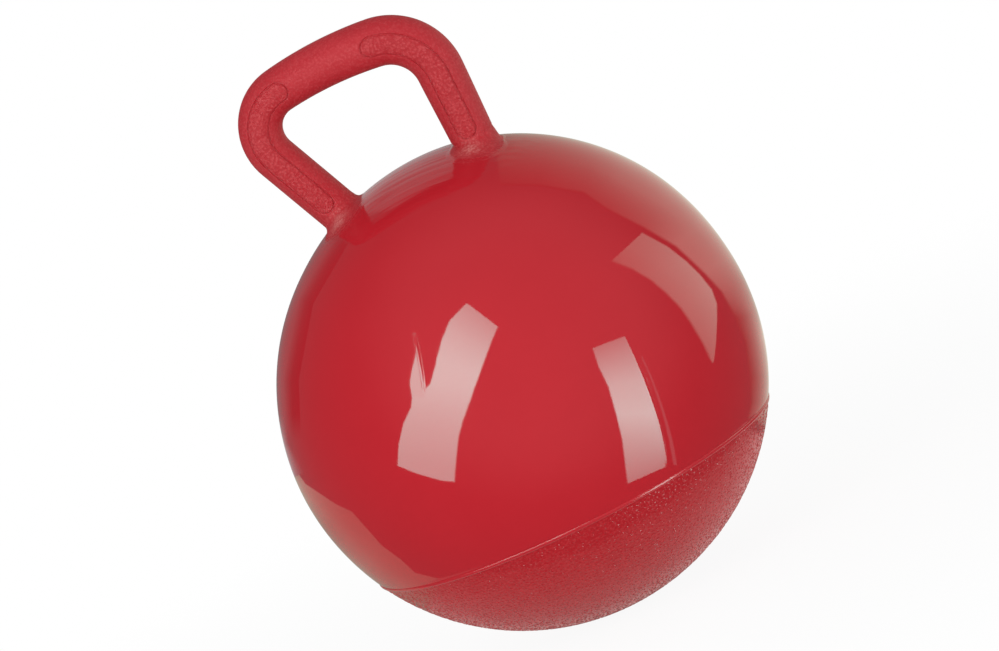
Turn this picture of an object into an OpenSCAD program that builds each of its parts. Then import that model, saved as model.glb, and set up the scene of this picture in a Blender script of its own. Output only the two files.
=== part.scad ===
// Hopper ball: an inflated vinyl ball with a hoop handle, a grained base, a raised moulding seam
// and a stopper valve at the back. It stands on its base at the origin, handle up, front to -Y.

/* [Ball] */
// Inflated diameter of the ball
ball_d = 450; // [350:5:650]
// Thickness of the ball's skin
skin_t = 1.2; // [0.8:0.1:3]
// Diameter of the patch that the ball's own weight presses flat
contact_d = 48; // [30:1:80]

/* [Seam] */
// Height of the moulding seam below the middle of the ball
seam_drop = 107; // [60:1:130]
// Width of the raised bead along the seam
bead_w = 4.4; // [3:0.2:8]
// Height of the bead above the skin
bead_h = 1.6; // [0.8:0.1:2.4]

/* [Handle] */
// Distance between the two feet of the hoop, where their axes meet the skin
foot_spread = 137.5; // [120:0.5:170]
// Height of the middle of the grip bar above the top of the ball
grip_rise = 121; // [100:1:150]
// Diameter of the hoop along the bar
tube_d = 43.5; // [34:0.5:48]
// Diameter of each leg where it meets the skin
leg_d = 40.5; // [34:0.5:48]
// Wall of the hollow hoop
tube_t = 3; // [2.4:0.1:5]
// Radius of the bend at -X, along the middle of the tube
left_bend_r = 39.5; // [36:0.5:52]
// Radius of the bend at +X, which the soft hoop's set has opened
right_bend_r = 48.5; // [36:0.5:52]
// How much the bends swell in radius beyond the bar and the legs
bend_swell = 0.4; // [0.3:0.1:1.2]
// Radius of the slight upward arch of the grip bar
arch_r = 360; // [280:10:1200]
// Outward splay of each leg
leg_splay = 12.3; // [6:0.1:18]
// Sideways set of the soft hoop towards -X, from its feet to its bar
grip_sway = 24; // [0:0.5:26]
// Lean of the whole handle towards -X, about the middle of the ball
handle_tilt = 1.6; // [0:0.1:6]
// Lean of the whole handle towards the front, about the middle of the ball
handle_lean = 4; // [0:0.5:8]
// Radius of the fillet round each foot
flare_r = 6; // [4:0.5:14]
// Height of the edge where a foot ends on the skin
flare_lip = 0.6; // [0.4:0.1:2]

/* [Grip panels] */
// Width of each grained grip panel
panel_w = 17.5; // [12:0.5:24]
// Depth of the pocket that each panel fills
panel_t = 1.2; // [0.8:0.1:1.8]
// Width of the groove round each panel
groove_w = 1.3; // [0.8:0.1:2]
// Length of leg between the top of a foot's fillet and the round end of its panel
panel_gap = 9; // [1:0.5:14]
// How far past the end of its bend a panel runs on, up to the middle of its round end
panel_run = 1.5; // [0.5:0.5:8]

/* [Valve] */
// Angle of the valve above the ball's level middle, at the back
valve_angle = 20; // [0:1:35]
// Bore of the valve
bore_d = 9; // [7:0.5:12]
// Diameter of the seat where it fills the hole in the skin
seat_d = 26; // [23:0.5:34]
// Length of the seat from the skin inwards
seat_len = 17; // [14:0.5:26]
// Diameter of the flange that holds the seat under the skin
flange_d = 44; // [38:1:60]
// Thickness of the flange at its edge
flange_t = 1.6; // [1:0.1:3]
// Diameter of the stopper's head
head_d = 16; // [14:0.5:19]
// Thickness of the stopper's head
head_t = 2.4; // [1.6:0.1:4]
// Length of the stopper's shank
shank_len = 18; // [14:0.5:24]
// Number of holding grooves round the shank
shank_grooves = 3; // [1:1:4]
// Radius of each holding groove's section
shank_groove_r = 0.8; // [0.5:0.1:1.2]
// Depth of the finger dimple in the head
dimple_depth = 1; // [0.5:0.1:1.4]

/* [Clearances] */
// Bonding gap round the valve seat and under the grip panels
bond_gap = 0.1; // [0.05:0.05:0.3]
// Running gap between the shank and its bore
shank_gap = 0.05; // [0.02:0.01:0.1]
// Gap round the stopper's head in its recess
head_gap = 0.4; // [0.2:0.1:0.8]
// Depth of the head's top below the skin
head_sink = 0.5; // [0.3:0.1:1]

/* [Hidden] */
$fn = 240;

ball_r = ball_d / 2;
inner_r = ball_r - skin_t;
// Height of the ball's middle above the flat patch
middle_z = sqrt(ball_r * ball_r - contact_d * contact_d / 4);

// Radius of the bead's round crest
bead_section_r = (bead_h * bead_h + bead_w * bead_w / 4) / (2 * bead_h);
seam_angle = asin(seam_drop / ball_r);

// The hoop is laid out in the XZ plane, measured from the middle of the ball
tube_r = tube_d / 2;
leg_r = leg_d / 2;
foot_x = foot_spread / 2;
foot_z = sqrt(ball_r * ball_r - foot_x * foot_x);
foot_angle = asin(foot_x / ball_r);
bar_z = ball_r + grip_rise;
sway_slope = grip_sway / (bar_z - foot_z);
arch_middle = [-grip_sway, bar_z - arch_r];
// How far the legs reach below the skin before the ball trims them
root_sink = leg_r;
// How far the legs and the bar run on inside the swollen bends
bend_lap = sqrt(min(left_bend_r, right_bend_r) * bend_swell);

// The fillet at a foot is cut by a round ring that stands just clear of the skin
flare_ring_r = leg_r + flare_r;
flare_top = flare_r + flare_lip - ball_r + sqrt(ball_r * ball_r - flare_ring_r * flare_ring_r);
panel_start = flare_top + panel_gap + panel_w / 2;
// Angle between the points of an outline that goes round an end
end_step = 15;
// Number of straight runs in which an outline follows a bend
bend_runs = 16;

// The valve is laid out along its own axis, measured from the middle of the ball
head_floor = ball_r - head_t - head_sink;
shank_r = bore_d / 2 - shank_gap;
shank_tip = shank_r;
flange_low = sqrt(inner_r * inner_r - flange_d * flange_d / 4) - flange_t;

function on_arc(middle, radius, angle) = middle + radius * [cos(angle), sin(angle)];
function degrees(length, radius) = length / radius * 180 / PI;

// Side is 1 for the leg at +X and -1 for the leg at -X
function bend_r(side) = side > 0 ? right_bend_r : left_bend_r;
function leg_angle(side) = atan(tan(leg_splay) - side * sway_slope);
function leg_foot(side) = [side * foot_x, foot_z];
function leg_way(side) = [side * sin(leg_angle(side)), cos(leg_angle(side))];
function leg_inward(side) = [-side * cos(leg_angle(side)), sin(leg_angle(side))];
// From the middle of the arch to the middle of a bend that would start at the foot
function bend_reach(side) = leg_foot(side) + bend_r(side) * leg_inward(side) - arch_middle;
// Straight length of a leg, up to where its bend can run on smoothly into the arched bar
function leg_len(side) =
    let (reach = bend_reach(side), along = reach * leg_way(side))
    sqrt(along * along - reach * reach + pow(arch_r - bend_r(side), 2)) - along;
function bend_middle(side) = arch_middle + bend_reach(side) + leg_len(side) * leg_way(side);
// Directions in which a bend leaves its leg and meets the bar, seen from the middle of its arc
function bend_start(side) = side > 0 ? -leg_angle(side) : 180 + leg_angle(side);
function bend_end(side) =
    let (v = bend_middle(side) - arch_middle)
    atan2(v[1], v[0]);
function bend_sweep(side) = abs(bend_end(side) - bend_start(side));
function panel_end(side) = bend_end(side) + side * degrees(panel_run, bend_r(side));

// Line along the hoop at distance w outside the middle of the tube, from above a foot to near the bar
function band_edge(side, w) = concat(
    [leg_foot(side) + panel_start * leg_way(side) - w * leg_inward(side)],
    [for (i = [0.5 : bend_runs])
        let (share = i / bend_runs)
        on_arc(bend_middle(side), bend_r(side) + w, (1 - share) * bend_start(side) + share * panel_end(side))],
    [on_arc(bend_middle(side), bend_r(side) + w, panel_end(side))]
);
// Points round a half circle that turns from the direction given, without its two ends
function half_round(side, middle, radius, from) =
    [for (i = [end_step : end_step : 180 - end_step]) on_arc(middle, radius, from + side * i)];
function reverse(points) = [for (i = [len(points) - 1 : -1 : 0]) points[i]];
function band_outline(side, w) =
    concat(
        band_edge(side, w / 2),
        half_round(side, on_arc(bend_middle(side), bend_r(side), panel_end(side)), w / 2, panel_end(side)),
        reverse(band_edge(side, -w / 2)),
        half_round(side, leg_foot(side) + panel_start * leg_way(side), w / 2, bend_start(side) + 180)
    );

module at_ball() translate([0, 0, middle_z]) children();

module at_handle() at_ball() rotate([handle_lean, -handle_tilt, 0]) children();

module at_valve() at_ball() rotate([valve_angle - 90, 0, 0]) children();

// Sweeps a child section about an axis along Y, in the hoop's plane
module sweep(middle, from, angle)
    translate([middle[0], 0, middle[1]]) rotate([90, 0, 0]) rotate([0, 0, from])
        rotate_extrude(angle = angle) children();

// Everything below the seam
module below_seam() translate([-ball_d, -ball_d, -seam_drop - 2 * ball_d]) cube(2 * ball_d);

// One leg of the hoop, drawn in by inset, tapering from its bend to its foot
module leg(side, inset) {
    taper = (tube_r - leg_r) / leg_len(side);
    translate([side * foot_x, 0, foot_z]) rotate([0, side * leg_angle(side), 0]) translate([0, 0, -root_sink])
        cylinder(
            h = root_sink + leg_len(side) + bend_lap,
            r1 = leg_r - taper * root_sink - inset,
            r2 = tube_r + taper * bend_lap - inset
        );
}

// The whole hoop, drawn in by inset
module hoop(inset) {
    lap = degrees(bend_lap, arch_r);
    for (side = [-1, 1]) {
        leg(side, inset);
        sweep(bend_middle(side), min(bend_start(side), bend_end(side)), bend_sweep(side))
            translate([bend_r(side), 0]) circle(tube_r + bend_swell - inset);
    }
    sweep(arch_middle, bend_end(1) - lap, bend_end(-1) - bend_end(1) + 2 * lap)
        translate([arch_r, 0]) circle(tube_r - inset);
}

// Filleted foot: a short drum square to the skin, hollowed round its edge by a ring
module foot_flare(side) {
    middle = leg_foot(side) + flare_top / cos(leg_angle(side) - foot_angle) * leg_way(side);
    translate([middle[0], 0, middle[1]]) rotate([0, side * foot_angle, 0]) difference() {
        translate([0, 0, -flare_top - root_sink]) cylinder(h = flare_top + root_sink, r = flare_ring_r);
        rotate_extrude() translate([flare_ring_r, 0]) circle(flare_r);
    }
}

// Band of width w along the hoop, square through the tube from y = low to y = high
module band(side, w, low, high)
    translate([0, high, 0]) rotate([90, 0, 0]) linear_extrude(high - low) polygon(band_outline(side, w));

module upper_shell() {
    color("crimson") difference() {
        at_ball() sphere(ball_r);
        at_ball() sphere(inner_r);
        at_ball() below_seam();
        // The ball's air reaches the hoop through a port under each foot
        at_handle() for (side = [-1, 1]) leg(side, tube_t);
        at_valve() cylinder(h = ball_d, d = seat_d + 2 * bond_gap);
    }
}

module base_shell() {
    color("firebrick") difference() {
        at_ball() intersection() {
            sphere(ball_r);
            below_seam();
        }
        // The patch is flat on the inside too, so that the skin keeps its thickness there
        difference() {
            at_ball() sphere(inner_r);
            translate([-ball_r, -ball_r, skin_t - ball_d]) cube(ball_d);
        }
        translate([-ball_r, -ball_r, -ball_d]) cube(ball_d);
    }
}

module seam_bead() {
    // Round crest of the bead, above a line that touches the skin at the seam
    color("indianred") at_ball() rotate_extrude() rotate(-seam_angle) translate([ball_r, 0]) intersection() {
        translate([bead_h - bead_section_r, 0]) circle(bead_section_r);
        translate([0, -bead_section_r]) square(2 * bead_section_r);
    }
}

module handle_loop() {
    color("brown") at_handle() difference() {
        union() {
            hoop(0);
            for (side = [-1, 1]) foot_flare(side);
        }
        sphere(ball_r);
        hoop(tube_t);
        difference() {
            for (side = [-1, 1]) band(side, panel_w + 2 * groove_w, -tube_d, tube_d);
            hoop(panel_t);
        }
    }
}

// Face is -1 for the front of the hoop and 1 for its rear
module grip_panel(side, face) {
    color("maroon") at_handle() intersection() {
        band(side, panel_w, min(0, face * tube_d), max(0, face * tube_d));
        difference() {
            hoop(0);
            hoop(panel_t - bond_gap);
        }
    }
}

module valve_seat() {
    color("white") at_valve() difference() {
        union() {
            intersection() {
                translate([0, 0, ball_r - seat_len]) cylinder(h = seat_len, d = seat_d);
                sphere(ball_r);
            }
            intersection() {
                translate([0, 0, flange_low]) cylinder(h = ball_r - flange_low, d = flange_d);
                sphere(inner_r);
            }
        }
        translate([0, 0, head_floor]) cylinder(h = ball_r - head_floor, d = head_d + 2 * head_gap);
        cylinder(h = ball_r, d = bore_d);
    }
}

module valve_plug() {
    head_r = head_d / 2;
    groove_pitch = (shank_len - shank_tip) / (shank_grooves + 1);
    // Sphere that presses the finger dimple, which is half as wide as the head
    dimple_r = (head_r * head_r / 4 + dimple_depth * dimple_depth) / (2 * dimple_depth);
    color("whitesmoke") at_valve() translate([0, 0, head_floor]) difference() {
        union() {
            cylinder(h = head_t, r = head_r);
            translate([0, 0, shank_tip - shank_len]) cylinder(h = shank_len - shank_tip, r = shank_r);
            translate([0, 0, -shank_len]) cylinder(h = shank_tip, r1 = shank_r / 2, r2 = shank_r);
        }
        for (i = [1 : shank_grooves])
            translate([0, 0, -i * groove_pitch]) rotate_extrude() translate([shank_r, 0]) circle(shank_groove_r);
        translate([0, 0, head_t - dimple_depth + dimple_r]) sphere(dimple_r);
    }
}

upper_shell();
base_shell();
seam_bead();
handle_loop();
grip_panel(-1, -1);  // front_left_grip
grip_panel(1, -1);  // front_right_grip
grip_panel(-1, 1);  // rear_left_grip
grip_panel(1, 1);  // rear_right_grip
valve_seat();
valve_plug();
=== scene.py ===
import functools
import math
import bmesh
import bpy
import numpy as np
from mathutils import Matrix, Vector


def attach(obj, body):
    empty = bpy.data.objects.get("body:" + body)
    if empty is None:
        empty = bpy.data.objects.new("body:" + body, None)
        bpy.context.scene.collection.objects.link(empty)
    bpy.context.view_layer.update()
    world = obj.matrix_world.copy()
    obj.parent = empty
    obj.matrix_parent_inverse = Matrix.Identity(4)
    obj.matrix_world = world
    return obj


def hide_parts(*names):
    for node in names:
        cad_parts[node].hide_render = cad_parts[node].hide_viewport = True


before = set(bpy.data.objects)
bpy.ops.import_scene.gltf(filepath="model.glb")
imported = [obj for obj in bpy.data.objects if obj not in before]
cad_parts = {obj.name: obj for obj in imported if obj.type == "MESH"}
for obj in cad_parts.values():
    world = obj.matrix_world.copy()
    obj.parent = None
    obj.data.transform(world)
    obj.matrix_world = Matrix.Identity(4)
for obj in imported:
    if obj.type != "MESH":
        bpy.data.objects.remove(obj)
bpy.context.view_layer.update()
print("frame loaded:", len(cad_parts), "nodes")

# The ball's sizes, as in the CAD source. Lengths are in millimetres from its middle; 0.001 turns them into metres.
ball = {
    "radius": 225.0,
    "middleZ": 223.716,  # height of the middle above the floor
    "seamDrop": 107.0,
    "patchRadius": 24.0,  # flat patch that it stands on
    "skin": 1.2,
    "shrink": 0.15,  # the skin is drawn this far inside the solid's
    "valveLatitude": 20.0, "valveLongitude": 90,  # degrees
    "weld": 1e-7,  # metres; points closer than this become one
}
perDegree = ball["radius"] * math.pi / 180  # along the skin
seamLatitude = -math.asin(ball["seamDrop"] / ball["radius"])
valveSin, valveCos = math.sin(math.radians(ball["valveLatitude"])), math.cos(math.radians(ball["valveLatitude"]))
valveAxes = np.array([[1, 0, 0], [0, -valveSin, valveCos], [0, valveCos, valveSin]])  # to its side, up and out


# Linear values of an sRGB colour
def linearColour(hexColour):
    parts = [int(hexColour[i:i + 2], 16) / 255 for i in (1, 3, 5)]
    return [p / 12.92 if p <= 0.04045 else ((p + 0.055) / 1.055) ** 2.4 for p in parts] + [1.0]


# A node that is given as an input is linked by its first output
def addNode(tree, kind, inputs={}, **settings):
    node = tree.nodes.new(kind)
    for name, value in settings.items():
        setattr(node, name, value)
    for name, value in inputs.items():
        value = value.outputs[0] if isinstance(value, bpy.types.Node) else value
        if isinstance(value, bpy.types.NodeSocket):
            tree.links.new(value, node.inputs[name])
        else:
            node.inputs[name].default_value = value
    return node


def smoothStep(low, high, value):
    t = np.clip((value - low) / (high - low), 0, 1)
    return t * t * (3 - 2 * t)


def unit(vectors):
    return vectors / np.linalg.norm(vectors, axis=-1, keepdims=True)


def fullTurn(count):
    return np.linspace(0, 2 * math.pi, count, endpoint=False)


def steps(low, high, step):
    return np.linspace(low, high, max(2, int(round((high - low) / step)) + 1))


def toSphere(longitude, latitude):
    flat = np.cos(latitude)
    return np.stack([flat * np.cos(longitude), flat * np.sin(longitude), np.sin(latitude)], -1)


# Slow waves of about the given size in every direction, with a mean square of 1
def softNoise(points, size, seed):
    dice, waves = np.random.default_rng(seed), 24
    ways = dice.normal(size=(waves, 3))
    ways *= 2 * math.pi / size / np.linalg.norm(ways, axis=1)[:, None]
    return np.sin(points @ ways.T + dice.uniform(0, 2 * math.pi, waves)).sum(1) / math.sqrt(waves / 2)


# Quads between the points of a grid, row by row; closed joins the last column to the first
def gridFaces(rows, columns, closed=False):
    i, j = np.meshgrid(np.arange(rows - 1), np.arange(columns if closed else columns - 1), indexing="ij")
    k, here, above = (j + 1) % columns, i * columns, (i + 1) * columns
    return np.stack([here + j, here + k, above + k, above + j], -1).reshape(-1, 4)


# An object at the origin, with its place in its mesh; outward welds it and turns its faces out
def makePiece(name, points, faces, material, outward=True):
    mesh = bpy.data.meshes.new(name)
    places = (np.asarray(points) + [0, 0, ball["middleZ"]]) * 0.001
    mesh.from_pydata(places.tolist(), [], [list(map(int, f)) for f in faces])
    if outward:
        loose = bmesh.new()
        loose.from_mesh(mesh)
        bmesh.ops.remove_doubles(loose, verts=loose.verts, dist=ball["weld"])
        bmesh.ops.recalc_face_normals(loose, faces=loose.faces)
        loose.to_mesh(mesh)
        loose.free()
    mesh.polygons.foreach_set("use_smooth", [True] * len(mesh.polygons))
    mesh.materials.append(material)
    piece = bpy.data.objects.new(name, mesh)
    bpy.context.collection.objects.link(piece)
    return piece


# A piece from rings of points; capped closes its first and last ring
def makeRings(name, rings, material, capped=False):
    count, wide = rings.shape[:2]
    faces = [*gridFaces(count, wide, closed=True)]
    if capped:
        faces += [range(wide), range((count - 1) * wide, count * wide)]
    return makePiece(name, rings.reshape(-1, 3), faces, material)


def setOn(piece, body, slotName, *nodes):
    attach(piece, body)
    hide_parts(*nodes)
    print(piece.name + ":", len(piece.data.polygons), "faces")


# A new material, and addNode for it
def newMaterial(name):
    material = bpy.data.materials.new(name)
    material.use_nodes = True
    material.node_tree.nodes.clear()
    return material, functools.partial(addNode, material.node_tree)


noiseRange = {"From Min": 0.3, "From Max": 0.7}  # most of a noise texture lies in it


# Two near tones, mixed by a slow noise; sockets 6 and 7 and output 2 of a Mix node are its colours
def mottledColour(add, place, look, detail):
    mottle = add("ShaderNodeTexNoise", {"Vector": place, "Scale": 1000 / look["mottle"], "Detail": detail})
    tones = {0: mottle, 6: linearColour(look["deep"]), 7: linearColour(look["light"])}
    return mottle.outputs[0], add("ShaderNodeMix", tones, data_type="RGBA").outputs[2]


# Red plasticised PVC from a polished mould: a deep even red under a clear, nearly wet gloss, with a trace of orange
# peel. The skin is stretched round the feet of the hoop, which leaves fine streaks along it near the top.
def polishedVinyl():
    look = {
        "deep": "#BA1E29", "light": "#C0222D", "mottle": 70, "roughness": {"To Min": 0.03, "To Max": 0.05}, "shine": 0.5,
        "peel": 7, "peelDepth": 0.01, "peelStrength": 0.35,
        "streakLength": 120, "streakWidth": 7, "streakDepth": 0.8,
        "streakArea": {"From Min": 0.412, "From Max": 0.44, "To Max": 0.5},  # strength from metres above the floor
        "streakRange": {"From Min": 0.35, "From Max": 0.65}, "streakDull": 0.16, "streakShine": 0.6,
    }
    material, add = newMaterial("polishedVinyl")
    place = add("ShaderNodeTexCoord").outputs["Object"]
    mottle, colour = mottledColour(add, place, look, 3)
    gloss = add("ShaderNodeMapRange", {"Value": mottle, **noiseRange, **look["roughness"]})
    peel = add("ShaderNodeTexNoise", {"Vector": place, "Scale": 1000 / look["peel"], "Detail": 1})
    peelBump = add("ShaderNodeBump", {
        "Height": peel, "Distance": look["peelDepth"] * 0.001, "Strength": look["peelStrength"]})
    perMetre = [1000 / look["streakLength"]] + [1000 / look["streakWidth"]] * 2
    along = add("ShaderNodeMapping", {"Vector": place, "Scale": perMetre})
    streak = add("ShaderNodeTexNoise", {"Vector": along, "Scale": 1, "Detail": 2})
    height = add("ShaderNodeSeparateXYZ", {"Vector": place}).outputs["Z"]
    top = add("ShaderNodeMapRange", {"Value": height, **look["streakArea"]})
    streakBump = add("ShaderNodeBump", {
        "Height": streak, "Distance": look["streakDepth"] * 0.001, "Strength": top, "Normal": peelBump})
    dull = add("ShaderNodeMath", {0: top, 1: look["streakDull"], 2: gloss}, operation="MULTIPLY_ADD")
    lines = add("ShaderNodeMapRange", {
        "Value": streak, **look["streakRange"], "To Min": -look["streakShine"], "To Max": look["streakShine"]})
    shine = add("ShaderNodeMath", {0: lines, 1: top, 2: look["shine"]}, operation="MULTIPLY_ADD")
    shader = add("ShaderNodeBsdfPrincipled", {
        "Base Color": colour, "Roughness": dull, "Specular IOR Level": shine, "Normal": streakBump})
    add("ShaderNodeOutputMaterial", {"Surface": shader})
    return material


# What the textured finishes share; the painted highlights on the grain tops and at the feet go from the edge of a
# grain to its middle
finish = {
    "finer": 2.5,  # a fine noise, against the grain
    "uneven": 0.05, "meltRough": 0.05, "meltShine": 0.5, "top": {"From Min": 0.5, "From Max": 0.1},
    "footHighlight": {"From Min": 0.6, "From Max": 0.1, "To Min": 0.3, "To Max": 1.3},
}


# The same vinyl off a part of the mould with another finish: rougher, so it looks paler and its highlights spread.
# The tops of its grain are painted a little paler, a painted highlight where the grain would catch the light.
def texturedVinyl(name, look):
    material, add = newMaterial(name)
    place = add("ShaderNodeTexCoord").outputs["Object"]
    _, ground = mottledColour(add, place, look, 4)
    pits = add("ShaderNodeTexVoronoi", {
        "Vector": place, "Scale": 1000 / look["grain"], "Randomness": 1}, feature="SMOOTH_F1")
    fine = add("ShaderNodeTexNoise", {"Vector": place, "Scale": 1000 * finish["finer"] / look["grain"], "Detail": 2})
    # Painted highlight: the middles of the grain cells are drawn paler, as if they caught the light
    grainHighlightShare = add("ShaderNodeMapRange", {"Value": pits, **finish["top"], "To Max": look.get("grainHighlight", 0.0)})
    colour = add("ShaderNodeMix", {
        0: grainHighlightShare, 6: ground, 7: linearColour(look.get("top", look["light"]))}, data_type="RGBA").outputs[2]
    relief = add("ShaderNodeMath", {0: fine, 1: pits}, operation="SUBTRACT")
    bump = add("ShaderNodeBump", {"Height": relief, "Distance": look["depth"] * 0.001, "Strength": 1})
    gloss = add("ShaderNodeMapRange", {
        "Value": fine, **noiseRange, "To Min": look["roughness"] - finish["uneven"],
        "To Max": look["roughness"] + finish["uneven"]})
    surface = {"Base Color": colour, "Roughness": gloss, "Specular IOR Level": look["shine"], "Normal": bump}
    if "footHighlight" in look:  # at the feet the blasting runs out into the dome's finish, and the front of the fillets gets a pale painted highlight
        rise = add("ShaderNodeAttribute", attribute_name="matte").outputs["Fac"]
        rough = add("ShaderNodeMath", {0: gloss, 1: rise, 2: finish["meltRough"]}, operation="MULTIPLY_ADD")
        shine = add("ShaderNodeMapRange", {"Value": rise, "To Min": finish["meltShine"], "To Max": look["shine"]})
        # Painted highlight: a pale, patchy spot on the front of each fillet
        footHighlight = add("ShaderNodeAttribute", attribute_name="footHighlight").outputs["Fac"]
        patchy = add("ShaderNodeMapRange", {"Value": pits, **finish["footHighlight"]})
        pale = add("ShaderNodeMath", {0: footHighlight, 1: patchy}, operation="MULTIPLY")
        footHighlighted = add("ShaderNodeMix", {0: pale, 6: colour, 7: linearColour(look["footHighlight"])}, data_type="RGBA")
        surface.update({"Base Color": footHighlighted.outputs[2], "Roughness": rough, "Specular IOR Level": shine})
        material.node_tree.links.new(rise, bump.inputs["Strength"])
    add("ShaderNodeOutputMaterial", {"Surface": add("ShaderNodeBsdfPrincipled", surface)})
    return material


glossVinyl = polishedVinyl()
# Rubbed: the dome's red with a duller gloss, which draws its highlights out along the bead
rubbedVinyl = texturedVinyl("rubbedVinyl", {
    "deep": "#BA1E29", "light": "#C0222D",
    "mottle": 45, "grain": 1.6, "depth": 0.01, "roughness": 0.2, "shine": 0.5})
# Satin: the moulded ridges catch small glints, and the flanks between them stay soft; the tops of its grain carry a
# painted highlight
grainedVinyl = texturedVinyl("satinGrainVinyl", {
    "deep": "#B01822", "light": "#B81E28", "top": "#CE484C", "grainHighlight": 0.3,
    "mottle": 45, "grain": 2.5, "depth": 0.012, "roughness": 0.12, "shine": 0.42})
# Blasted: an even, powdery red with no clear reflection, with a painted highlight on its grain tops and a pale painted
# highlight on the front of the feet
matteVinyl = texturedVinyl("blastedVinyl", {
    "deep": "#B5202A", "light": "#BE2630", "top": "#D04A4F", "grainHighlight": 0.4, "footHighlight": "#E39A94",
    "mottle": 30, "grain": 2.1, "depth": 0.42, "roughness": 0.48, "shine": 0.22})
# Coarse grip: the same red, broken up by its pebbles, with a painted highlight on the tops of its grain
gripVinyl = texturedVinyl("gripGrainVinyl", {
    "deep": "#AF1D27", "light": "#B9232C", "top": "#D45054", "grainHighlight": 0.58,
    "mottle": 25, "grain": 2.2, "depth": 0.5, "roughness": 0.48, "shine": 0.22})
# Soft seat of the valve: waxy red, duller than the dome
seatVinyl = texturedVinyl("softSeatVinyl", {
    "deep": "#A91B23", "light": "#B3242B",
    "mottle": 12, "grain": 0.7, "depth": 0.01, "roughness": 0.38, "shine": 0.4})
# Low-density polyethylene stopper: milky off-white with a soft, waxy sheen
stopperPlastic = texturedVinyl("milkyPolyethylene", {
    "deep": "#D9D6CC", "light": "#E6E3DA",
    "mottle": 9, "grain": 0.6, "depth": 0.008, "roughness": 0.42, "shine": 0.45})
print("materials made")


# Dome: the polished upper skin, with the small faults of a soft moulding
dome = {
    # Columns and rows in degrees: first, last and step at the crease, the mould line and the valve, and above the seam
    "columnStep": 1.0, "columnGap": 0.2, "fineColumns": [(-104.5, -96.5, 0.14), (-58, -52.5, 0.14), (84, 96, 0.5)],
    "fineRows": (-0.2, 2.2, 0.12), "plainRows": 2.7, "lastRow": 89.2,
    "rowStep": 2.4,  # millimetres
    "wave": 0.05, "waveSize": 110, "waveSeed": 4,  # slow unevenness of the skin
    # The hoop draws the top of the skin up, most at its right foot
    "pull": 4.8, "pullWay": (0.375, 0.0, 0.927), "pullReach": 0.5, "pullPower": 1.5,
    "grooveDepth": 0.1, "grooveWidth": 2.0, "grooveAway": 2.8,  # hollow just above the bead
    "crease": [(-99.74, 28.83), (-100.28, 24.18), (-100.92, 20.36), (-101.99, 15.77)],  # longitude and latitude
    "creaseDepth": 0.25, "creaseLeft": 0.5, "creaseRight": 2.2,
    "mouldLine": [(-54.1, 9.0), (-54.8, -1.2), (-55.5, -14.0), (-56.5, -24.6)],
    "lineHeight": 0.11, "lineWidth": 1.1, "fadePower": 0.8,
    "valveHole": 13.1, "valvePatch": 22.0, "valveColumns": 6, "valveRings": 9,
}


# Rise of the skin where the hoop draws it up
def domePull(ways):
    share = (ways @ dome["pullWay"] - dome["pullReach"]) / (1 - dome["pullReach"])
    return dome["pull"] * np.clip(share, 0, 1) ** dome["pullPower"]


def domeNormal(ways):
    slope, step = np.zeros_like(ways), 0.0001
    for axis in np.eye(3):
        slope += np.outer((domePull(unit(ways + step * axis)) - domePull(ways)) / step, axis)
    return unit(ways - slope / ball["radius"])


# Distance aside of a line on the dome, and how strong it is there: it fades towards its two ends
def besideLine(marks, longitude, latitude):
    turn, height = np.array(marks[::-1]).T
    run = np.interp(latitude, height, np.linspace(0, 1, len(marks)), left=-1, right=-1)
    aside = (longitude - np.interp(latitude, height, turn)) * perDegree * np.cos(np.radians(latitude))
    return aside, np.where(run < 0, 0, np.sin(np.clip(run, 0, 1) * math.pi) ** dome["fadePower"])


def domeSkin(ways):
    longitude = np.degrees(np.arctan2(ways[:, 1], ways[:, 0]))
    latitude = np.degrees(np.arcsin(np.clip(ways[:, 2], -1, 1)))
    wave = softNoise(ways * ball["radius"], dome["waveSize"], dome["waveSeed"])
    lift = domePull(ways) - ball["shrink"] + dome["wave"] * wave
    aboveSeam = (latitude - math.degrees(seamLatitude)) * perDegree
    lift -= dome["grooveDepth"] * np.exp(-2 * ((aboveSeam - dome["grooveAway"]) / dome["grooveWidth"]) ** 2)
    # The crease has a wide flank on one side and a short steep one on the other
    aside, fade = besideLine(dome["crease"], longitude, latitude)
    flank = np.clip(1 - np.where(aside < 0, -aside / dome["creaseLeft"], aside / dome["creaseRight"]), 0, 1)
    lift -= dome["creaseDepth"] * flank * fade
    aside, fade = besideLine(dome["mouldLine"], longitude, latitude)
    lift += dome["lineHeight"] * np.exp(-(aside / dome["lineWidth"]) ** 2) * fade
    return ways * (ball["radius"] + lift)[:, None]


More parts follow.
